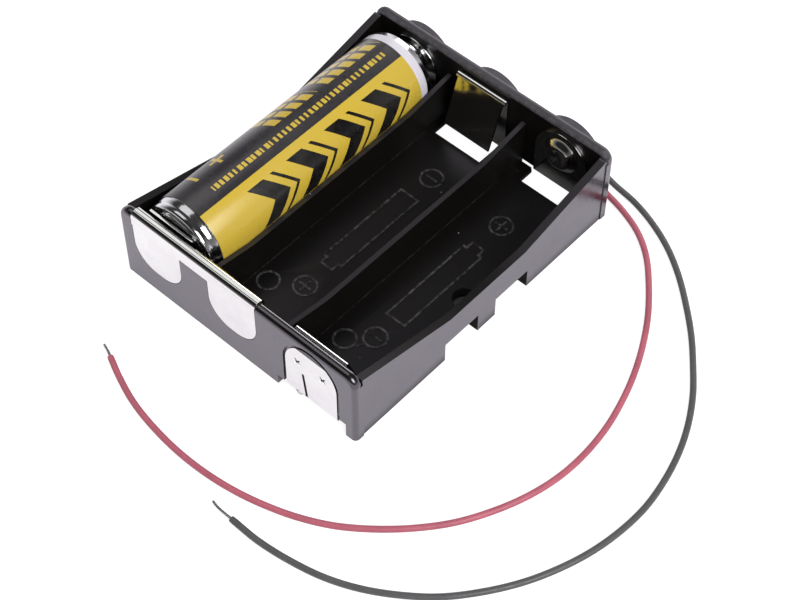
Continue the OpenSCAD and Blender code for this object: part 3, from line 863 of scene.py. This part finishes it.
@dataclass
class RoundedCopy:
    """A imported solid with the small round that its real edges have.

    Attributes:
        node: The CAD node.
        width: How far the round reaches from the edge, in millimetres.
        joined: Distance in metres under which points are taken as one.
        flat: Angle in degrees under which faces are taken as one.
        sharpest: Edges flatter than this angle, in degrees, stay as they are.
        crease: Angle in degrees past which an edge isn't shaded smooth.
    """

    node: str
    width: float
    steps: int = 2
    joined: float = 2e-7
    flat: float = 0.5
    sharpest: float = 32.0
    crease: float = 46.0

    def build(self, source: bpy.types.Object, keep: Callable[[bmesh.types.BMEdge], bool]) -> Mesh:
        """Makes the rounded mesh.

        Args:
            source: The CAD object.
            keep: Says which edges stay sharp.

        Returns:
            The mesh.
        """
        shape = bmesh.new()
        shape.from_mesh(source.data)
        bmesh.ops.remove_doubles(shape, verts=shape.verts, dist=self.joined)
        bmesh.ops.dissolve_limit(shape, angle_limit=math.radians(self.flat), verts=shape.verts, edges=shape.edges)
        limit = math.radians(self.sharpest)
        edges = [e for e in shape.edges if len(e.link_faces) == 2 and e.calc_face_angle() > limit and not keep(e)]
        bmesh.ops.bevel(shape, geom=edges, offset=self.width * MM, offset_type="OFFSET", segments=self.steps,
                        profile=0.5, affect="EDGES", clamp_overlap=True)
        mesh = settle(shape, bpy.data.meshes.new(self.node + "_rounded"))
        mesh.set_sharp_from_angle(angle=math.radians(self.crease))
        return mesh


@dataclass
class Holder:
    """The moulded tray and its four formed contacts.

    Attributes:
        mark_heights: Heights of the floor and of the marks raised from it.
        slack: How far a mark's edge may lie outside these.
        satin_reach: How far from the middle, in X and Y, the satin finish goes.
    """

    frame: dict
    finishes: Finishes
    tray_round: float = 0.14
    sheet_round: float = 0.07
    mark_heights: Limits = (2.1, 2.2)
    slack: float = 0.02
    satin_reach: Limits = (23.55, 27.3)

    def build(self) -> None:
        """Makes the tray and the contacts."""
        tray = self._dress("tray", "tray_shell", self.tray_round, self.finishes.plastic,
                           self._is_mark)
        self._satin_inside(tray.data)
        for node in ("near_double_contact", "far_double_contact", "far_single_contact", "near_single_contact"):
            self._dress(node, node + "_sheet", self.sheet_round, self.finishes.nickel,
                        lambda edge: False)

    def _is_mark(self, edge: bmesh.types.BMEdge) -> bool:
        """Tells the edges of the raised marks on the floor.

        Args:
            edge: An edge of the tray.

        Returns:
            Whether it is one of theirs.
        """
        heights = [v.co.z / MM for v in edge.verts]
        inside = all(abs(v.co.y / MM - SEAT_Y) < MARK_REACH for v in edge.verts)
        low, high = self.mark_heights
        return inside and min(heights) > low - self.slack and max(heights) < high + self.slack

    def _dress(self, node: str, name: str, width: float, material: bpy.types.Material,
               keep: Callable[[bmesh.types.BMEdge], bool]) -> bpy.types.Object:
        """Replaces a CAD node by its rounded copy.

        Args:
            node: The CAD node.
            name: The copy's name.
            width: Width of its rounds, in millimetres.
            material: Its finish.
            keep: Says which edges stay sharp.

        Returns:
            The new piece.
        """
        mesh = RoundedCopy(node, width).build(self.frame["nodes"][node], keep)
        finish_with(mesh, material)
        piece = link(name, mesh)
        weights = piece.modifiers.new("face_weighted", "WEIGHTED_NORMAL")
        weights.keep_sharp = True
        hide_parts(node)
        return piece

    def _satin_inside(self, mesh: Mesh) -> None:
        """Gives the tray's inside and rims the satin finish of the mould's core.

        Args:
            mesh: The tray's mesh.
        """
        mesh.materials.append(self.finishes.satin)
        reach_x, reach_y = (reach * MM for reach in self.satin_reach)
        for face in mesh.polygons:
            inside = abs(face.center.x) < reach_x and abs(face.center.y) < reach_y
            face.material_index = 1 if inside else 0


@dataclass
class Cell:
    """The cell: a drawn can in a printed sleeve, with a nub and a base disc.

    Attributes:
        length: From the base to the nub's top.
        sleeve: Heights over the base between which the sleeve lies.
        sides: Faces round the can.
    """

    finishes: Finishes
    length: float = 50.5
    sleeve: Limits = (2.3, 47.7)
    sides: int = 128

    def profile(self) -> list[tuple[float, float]]:
        """Draws half of the can's outline.

        Returns:
            Its points, as radius and height over the base.
        """
        r, n = CELL_RADIUS, self.length
        start, end = self.sleeve
        steel = r - 0.14
        bead = [(r - 0.72 + 0.5 * math.cos(a), 0.5 + 0.5 * math.sin(a))
                for a in map(math.radians, range(200, 361, 20))]
        shoulder = [(steel - 0.9 + 0.9 * math.cos(a), n - 2.6 + 0.9 * math.sin(a))
                    for a in map(math.radians, range(30, 91, 15))]
        return [
            (0.0, 0.0), (5.0, 0.0), (5.25, 0.03), (5.42, 0.22), (5.62, 0.42), (5.86, 0.46), *bead,
            (steel - 0.04, 0.75), (steel - 0.14, 1.05), (steel - 0.14, 1.35), (steel, 1.65), (steel, start - 0.03),
            (r - 0.03, start), (r, start + 0.08), (r, end - 0.5), (r - 0.10, end - 0.2), (r - 0.3, end), *shoulder,
            (4.6, n - 1.7), (4.3, n - 1.82), (3.6, n - 1.86), (3.1, n - 1.86), (2.86, n - 1.78), (2.76, n - 1.55),
            (2.72, n - 0.45), (2.62, n - 0.2), (2.42, n - 0.04), (2.15, n), (0.0, n)]

    def build(self) -> None:
        """Makes the cell as one closed mesh with two finishes."""
        rows = self.profile()
        points: list[Vector] = []
        faces: list[tuple[int, ...]] = []
        printed: list[bool] = []
        ring_start: list[int] = []
        for radius, height in rows:
            ring_start.append(len(points))
            for k in range(1 if radius == 0.0 else self.sides):
                turn = 2 * math.pi * k / self.sides
                points.append(Vector((CELL_X + radius * math.cos(turn), CELL_BASE + height,
                                      CELL_Z + radius * math.sin(turn))))
        for (radius, height), (next_radius, _), a, b in zip(rows, rows[1:], ring_start, ring_start[1:]):
            for k in range(self.sides):
                j = (k + 1) % self.sides
                if radius == 0.0:
                    faces.append((a, b + k, b + j))
                elif next_radius == 0.0:
                    faces.append((a + k, b, a + j))
                else:
                    faces.append((a + k, b + k, b + j, a + j))
                printed.append(self.sleeve[0] <= height < self.sleeve[1])
        mesh = mesh_from("cell_body", metres(points), faces)
        mesh.materials.append(self.finishes.steel)
        mesh.materials.append(self.finishes.label)
        for polygon, on in zip(mesh.polygons, printed):
            polygon.material_index = 1 if on else 0
        mesh.set_sharp_from_angle(angle=math.radians(CREASE))
        piece = link("cell_body", mesh)
        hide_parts("cell")


@dataclass
class Lead:
    """A free lead with its stripped end.

    Attributes:
        name: The lead's CAD node.
        slot: The record's slot of its insulation; not used.
        material: The insulation's material.
        strand: The bare strands' material.
        route: Points of its centre line, in millimetres, from where it leaves the tray.
        tip_route: Points of the bare end's centre line.
        diameter: Over the insulation, in millimetres.
        core: Over the bare strands, in millimetres.
        strands: How many strands there are, the last of them in the middle.
        lay_length: Length in millimetres in which a strand goes round once.
    """

    name: str
    slot: str
    material: bpy.types.Material
    strand: bpy.types.Material
    route: Sequence[Point]
    tip_route: Sequence[Point]
    diameter: float = 1.0
    core: float = 0.45
    sides: int = 20
    steps: int = 8
    strands: int = 7
    strand_sides: int = 8
    strand_steps: int = 10
    lay_length: float = 3.2

    @staticmethod
    def smooth(route: Sequence[Vector], steps: int) -> list[Vector]:
        """Draws one smooth curve through the points of a route.

        Args:
            route: The points.
            steps: New points between two of them.

        Returns:
            The curve's points.
        """
        ends = [route[0] * 2 - route[1], *route, route[-1] * 2 - route[-2]]
        curve: list[Vector] = []
        for a, b, c, d in zip(ends, ends[1:], ends[2:], ends[3:]):
            for k in range(steps):
                t = k / steps
                bend, twist = 2 * a - 5 * b + 4 * c - d, 3 * b - a - 3 * c + d
                curve.append(0.5 * (2 * b + (c - a) * t + bend * t * t + twist * t ** 3))
        return [*curve, route[-1]]

    @staticmethod
    def frames(curve: Sequence[Vector]) -> list[tuple[Vector, Vector, Vector]]:
        """Gives each point of a curve its own two cross directions.

        Args:
            curve: The points.

        Returns:
            Each point with the directions to its side and up.
        """
        result = []
        last = len(curve) - 1
        for i, point in enumerate(curve):
            ahead = (curve[min(i + 1, last)] - curve[max(i - 1, 0)]).normalized()
            side = ahead.cross(Vector((0, 0, 1))).normalized()
            result.append((point, side, side.cross(ahead).normalized()))
        return result

    def sweep(self, name: str, curve: Sequence[Vector], radii: Sequence[float], sides: int) -> Mesh:
        """Makes a closed tube along a curve.

        Args:
            name: The mesh's name.
            curve: The centre line, in metres.
            radii: The tube's radius at each point, in metres.
            sides: Faces round the tube.

        Returns:
            The mesh.
        """
        points: list[Vector] = []
        for (centre, side, up), radius in zip(self.frames(curve), radii):
            for k in range(sides):
                turn = 2 * math.pi * k / sides
                points.append(centre + radius * (math.cos(turn) * side + math.sin(turn) * up))
        faces: list[tuple[int, ...]] = [tuple(range(sides)), tuple(len(points) - 1 - k for k in range(sides))]
        for i in range(len(curve) - 1):
            for k in range(sides):
                j = (k + 1) % sides
                faces.append((i * sides + k, i * sides + j, (i + 1) * sides + j, (i + 1) * sides + k))
        return mesh_from(name, points, faces)

    def _strands(self) -> Mesh:
        """Makes the twisted bare strands as one mesh.

        Returns:
            The mesh.
        """
        curve = self.smooth(metres(self.tip_route), self.strand_steps)
        frames = self.frames(curve)
        run = [0.0]
        for a, b in zip(curve, curve[1:]):
            run.append(run[-1] + (b - a).length)
        strand_r = self.core / 6 * MM  # three strands lie side by side across the core
        radii = [strand_r] * (len(curve) - 2) + [strand_r * 0.9, strand_r * 0.5]  # rounded at the end
        joined = bmesh.new()
        for number in range(self.strands):
            path = []
            for (centre, side, up), along in zip(frames, run):
                turn = 2 * math.pi * (number / (self.strands - 1) + along / (self.lay_length * MM))
                reach = 0.0 if number == self.strands - 1 else self.core * MM / 2 - strand_r
                path.append(centre + reach * (math.cos(turn) * side + math.sin(turn) * up))
            part = self.sweep(self.name + "_strand", path, radii, self.strand_sides)
            joined.from_mesh(part)
            bpy.data.meshes.remove(part)
        return settle(joined, bpy.data.meshes.new(self.name + "_strands"))

    def build(self) -> None:
        curve = self.smooth(metres(self.route), self.steps)
        radius = self.diameter / 2 * MM
        radii = [radius] * (len(curve) - 1) + [radius * 0.94]  # drawn in a little where it was stripped
        mesh = self.sweep(self.name + "_sleeve", curve, radii, self.sides)
        mesh.materials.append(self.material)
        mesh.set_sharp_from_angle(angle=math.radians(CREASE))
        sleeve = link(self.name + "_sleeve", mesh)
        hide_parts(self.name)
        tip_mesh = self._strands()
        tip_mesh.materials.append(self.strand)
        tip = link(self.name + "_strands", tip_mesh)
        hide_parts(self.name + "_tip")


LIFT = 0.5  # height of a lead's centre when it lies on the ground
END_Y = 28.75  # outer face of the far wall, from the tray's middle


def laid(*points: tuple[float, ...]) -> list[Point]:
    """Completes points of a route: x, y and, where it lies higher than on the ground, by how much."""
    return [(x, y, LIFT + sum(rise)) for x, y, *rise in points]


RED_ROUTE = laid(
    (4.0, END_Y), (4.0, 29.4), (4.1, 30.7, 0.3), (4.5, 32.1, 1.0), (5.8, 33.2, 1.15), (7.6, 33.5, 0.95),
    (10.2, 33.3, 0.4), (13.2, 32.9, 0.05), (17.4, 32.2), (21.9, 31.4), (26.2, 30.2), (30.2, 28.4), (34.0, 25.5),
    (37.7, 21.3), (41.0, 16.8), (43.8, 11.9), (46.0, 7.0), (47.6, 2.2), (48.8, -3.0), (49.3, -8.6), (49.0, -14.0),
    (47.8, -19.3), (45.8, -24.4), (43.1, -29.3), (39.7, -33.6), (35.7, -37.5), (31.2, -40.9), (26.4, -43.4),
    (21.3, -45.2), (16.1, -46.4), (10.7, -47.0), (5.3, -47.0), (-0.2, -46.4), (-4.9, -45.4), (-9.4, -43.8),
    (-13.0, -42.2))
BLACK_ROUTE = laid(
    (5.6, END_Y), (5.6, 31.0), (5.6, 33.2), (6.3, 35.0), (8.0, 36.2), (10.4, 36.3), (15.0, 35.4), (20.7, 33.9),
    (26.0, 33.0), (30.8, 31.4), (35.4, 29.1), (39.8, 26.0), (44.0, 22.3), (47.9, 18.4), (51.4, 14.2), (54.6, 9.9),
    (57.2, 5.3), (59.1, 0.6), (60.4, -4.4), (61.1, -9.7), (60.9, -15.0), (60.0, -20.2), (58.4, -25.2),
    (56.1, -30.2), (53.0, -35.0), (49.3, -39.4), (45.2, -42.8), (40.6, -45.7), (35.7, -47.8), (30.4, -49.1),
    (25.0, -49.8), (19.7, -49.8))
RED_TIP = [(-13.0, -42.2, LIFT), (-13.9, -41.8, LIFT), (-14.7, -41.5, 0.3625), (-15.5, -41.2, 0.225)]
BLACK_TIP = [(19.7, -49.8, LIFT), (18.6, -49.8, LIFT), (17.0, -49.7, 0.3625), (15.6, -49.4, 0.225)]


@dataclass
class UnderFloor:
    """The solids under the floor, which keep their CAD shape.

    Attributes:
        joined: Distance in metres under which points of the solder are taken as one.
    """

    frame: dict
    finishes: Finishes
    joined: float = 2e-6

    def build(self) -> None:
        """Gives each of them its finish."""
        looks = {
            "red_lead_run": self.finishes.red, "black_lead_run": self.finishes.black,
            "red_run_conductor": self.finishes.strand, "black_run_conductor": self.finishes.strand}
        for node, material in looks.items():
            finish_with(self.frame["nodes"][node].data, material)
            LOG.info("%s keeps its solid", node)
        for node in ("red_solder_joint", "black_solder_joint"):
            self._weld(node)

    def _weld(self, node: str) -> None:
        """Replaces a drop of solder by its copy with the doubled points at its edge joined.

        Args:
            node: The CAD node.
        """
        shape = bmesh.new()
        shape.from_mesh(self.frame["nodes"][node].data)
        bmesh.ops.remove_doubles(shape, verts=shape.verts, dist=self.joined)
        mesh = settle(shape, bpy.data.meshes.new(node + "_welded"))
        finish_with(mesh, self.finishes.solder)
        drop = link(node + "_drop", mesh)
        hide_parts(node)


# ---------------------------------------------------------------- studio


@dataclass
class Studio:
    """Camera, pale ground, surround and lamps.

    Attributes:
        azimuth: Turn of the camera round the object, in degrees, as elevation and roll.
        place: Where it stands, in millimetres.
        ground_size: The ground's edge, in metres.
        shaded: Brightness of the ground's colour under the tray, where it is a painted shadow, and in the open.
        slot_light: Brightness of the ground that the camera sees, raised under the tray as painted light through
            its slots: slope and start.
        deep_field: Half the size in X and Y of the painted shadow under the floor, its middle
        in Y and how far inside its edge it is fully dark, in millimetres.
        tray_field: The same of the painted shadow under the whole tray.
        sky: Even light of the surround.
        overhead: Brightness of the mirrored surround along Z, at a start and at an end,
            and these two.
        behind: The same along Y.
        beside: The same along X.
    """

    focal: float = 89.68
    sensor: float = 36.0
    azimuth: float = 41.73
    elevation: float = 52.91
    roll: float = 0.45
    place: Point = (131.74, -140.62, 239.43)
    clipped: Limits = (0.001, 20.0)
    ground_size: float = 4.0
    ground_z: float = -0.00002
    shaded: Limits = (0.18, 0.55)
    slot_light: Limits = (-0.20, 0.96)
    deep_field: Window = (22.0, 23.0, -4.0, 3.0)
    tray_field: Window = (24.5, 29.0, 0.0, 1.5)
    mirrored_ground: float = 0.50
    mirrored_tint: Colour = (0.94, 0.865, 1.0)
    surround_tint: Colour = (1.0, 0.99, 1.0)
    sky: float = 0.55
    overhead: Window = (0.95, 0.04, 0.05, 0.45)
    behind: Window = (0.30, 1.0, -0.55, 0.25)
    beside: Window = (1.0, 0.30, 0.15, 0.80)

    def camera(self) -> None:
        """Makes the camera."""
        a, e, r = (math.radians(v) for v in (self.azimuth, self.elevation, self.roll))
        back = Vector((math.sin(a) * math.cos(e), -math.cos(a) * math.cos(e), math.sin(e)))
        level = Vector((math.cos(a), math.sin(a), 0.0))
        rise = back.cross(level)
        right = level * math.cos(r) + rise * math.sin(r)
        above = rise * math.cos(r) - level * math.sin(r)
        data = bpy.data.cameras.new("view")
        data.lens = self.focal
        data.sensor_width = self.sensor
        data.sensor_fit = "HORIZONTAL"
        data.clip_start, data.clip_end = self.clipped
        camera = bpy.data.objects.new("view", data)
        turned = Matrix((right, above, back)).transposed().to_4x4()
        camera.matrix_world = Matrix.Translation(metres([self.place])[0]) @ turned
        bpy.context.scene.collection.objects.link(camera)
        bpy.context.scene.camera = camera

    @staticmethod
    def _seen_by(graph: Graph, *channels: Channel) -> Socket:
        """Gives 1 for rays of any of the given kinds."""
        path = graph.add("LightPath")
        return graph.chain("MAXIMUM", *(path.outputs[channel.value] for channel in channels))

    @staticmethod
    def _open_ground(graph: Graph, half_x: float, half_y: float, middle_y: float, fade: float) -> Socket:
        """Gives 1 on open ground and 0 where the tray keeps the light off.

        Args:
            graph: The ground's graph.
            half_x: Half the dark field's size in X, in millimetres.
            half_y: Half its size in Y.
            middle_y: Its middle in Y.
            fade: How far inside its edge it is fully dark.

        Returns:
            The mask.
        """
        x, y, _ = graph.place
        in_x = graph.math("SUBTRACT", half_x * MM, graph.math("ABSOLUTE", x))
        off_y = graph.math("ABSOLUTE", graph.math("SUBTRACT", y, middle_y * MM))
        inside = graph.math("MINIMUM", in_x, graph.math("SUBTRACT", half_y * MM, off_y))
        return graph.math("SUBTRACT", 1.0, graph.math("DIVIDE", inside, fade * MM, clamp=True))

    def ground(self) -> None:
        """Makes the pale ground, with painted shadow under the tray and painted light under its floor slots."""
        half = self.ground_size / 2
        square = [Vector((x * half, y * half, self.ground_z)) for x, y in ((-1, -1), (1, -1), (1, 1), (-1, 1))]
        mesh = mesh_from("ground", square, [(0, 1, 2, 3)])
        graph = Paint("pale_ground")
        plain = self._seen_by(graph, Channel.CAMERA)
        reflected = self._seen_by(graph, Channel.GLOSSY, Channel.CLEAR)
        deep = self._open_ground(graph, *self.deep_field)
        clear = self._open_ground(graph, *self.tray_field)
        # Painted shadow: the ground's colour, and its glow in reflections, drop under the tray.
        under, outside = (times(WHITE, share) for share in self.shaded)
        # Painted light under the floor slots, and painted shadow in the deep field, for the glow the camera sees.
        through_slots = graph.math("MULTIPLY_ADD", clear, *self.slot_light)
        seen = graph.chain("MULTIPLY", plain, through_slots, deep)
        mirrored = graph.chain("MULTIPLY", reflected, self.mirrored_ground, clear)
        graph.shade(Base_Color=graph.mix(clear, under, outside), Roughness=0.9, Specular_IOR_Level=0.0,
                    Emission_Color=graph.mix(plain, self.mirrored_tint, WHITE),
                    Emission_Strength=graph.math("MAXIMUM", seen, mirrored))
        mesh.materials.append(graph.material)
        ground = bpy.data.objects.new("ground", mesh)
        bpy.context.scene.collection.objects.link(ground)

    def surround(self) -> None:
        """Makes the white surround, darker overhead for reflections."""
        world = bpy.data.worlds.new("studio")
        world.use_nodes = True
        bpy.context.scene.world = world
        graph = Graph(world.node_tree)
        x, y, z = graph.axes("TexCoord", "Generated")
        sides = ((z, self.overhead), (y, self.behind), (x, self.beside))
        around = graph.chain("MULTIPLY", *(graph.spread(axis, *limits) for axis, limits in sides))
        mirrored = self._seen_by(graph, Channel.GLOSSY)
        even = graph.math("MULTIPLY", graph.math("SUBTRACT", 1.0, mirrored), self.sky)
        light = graph.math("ADD", even, graph.math("MULTIPLY", mirrored, around))
        strength = graph.math("MAXIMUM", self._seen_by(graph, Channel.CAMERA), light)
        shader = graph.add("Background")
        graph.fill(shader, Color=graph.mix(mirrored, WHITE, self.surround_tint), Strength=strength)
        graph.feed(graph.add("OutputWorld").inputs["Surface"], shader.outputs[0])

    def lamp(self, name: str, place: Point, size: float, power: float) -> None:
        """Makes a soft square lamp that looks at the object.

        Args:
            name: The lamp's name.
            place: Where it hangs, in metres.
            size: Its edge, in metres.
            power: Its power, in watts.
        """
        data = bpy.data.lights.new(name, "AREA")
        data.shape = "SQUARE"
        data.size = size
        data.energy = power
        lamp = bpy.data.objects.new(name, data)
        lamp.location = place
        lamp.rotation_euler = Vector(place).to_track_quat("Z", "Y").to_euler()
        bpy.context.scene.collection.objects.link(lamp)

    def build(self) -> None:
        """Makes ground, surround and lamps."""
        self.ground()
        self.surround()
        self.lamp("right_window", (0.62, -0.15, 0.55), size=0.45, power=4.6)
        self.lamp("left_fill", (-0.33, 0.05, 0.76), size=0.5, power=0.65)
        self.lamp("back_strip", (-0.25, 0.75, 0.28), size=0.35, power=1.15)
        bpy.context.scene.view_settings.view_transform = "Standard"


def main() -> None:
    """Loads the frame and builds every piece around it."""
    logging.basicConfig(level=logging.INFO, format="%(name)s: %(message)s")
    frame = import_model()
    studio = Studio()
    studio.camera()
    finishes = Finishes()
    Lead("red_lead", "red_insulation", finishes.red, finishes.strand, RED_ROUTE, RED_TIP).build()
    Lead("black_lead", "black_insulation", finishes.black, finishes.strand, BLACK_ROUTE, BLACK_TIP).build()
    Holder(frame, finishes).build()
    Cell(finishes).build()
    UnderFloor(frame, finishes).build()
    studio.build()


if __name__ == "__main__":
    main()
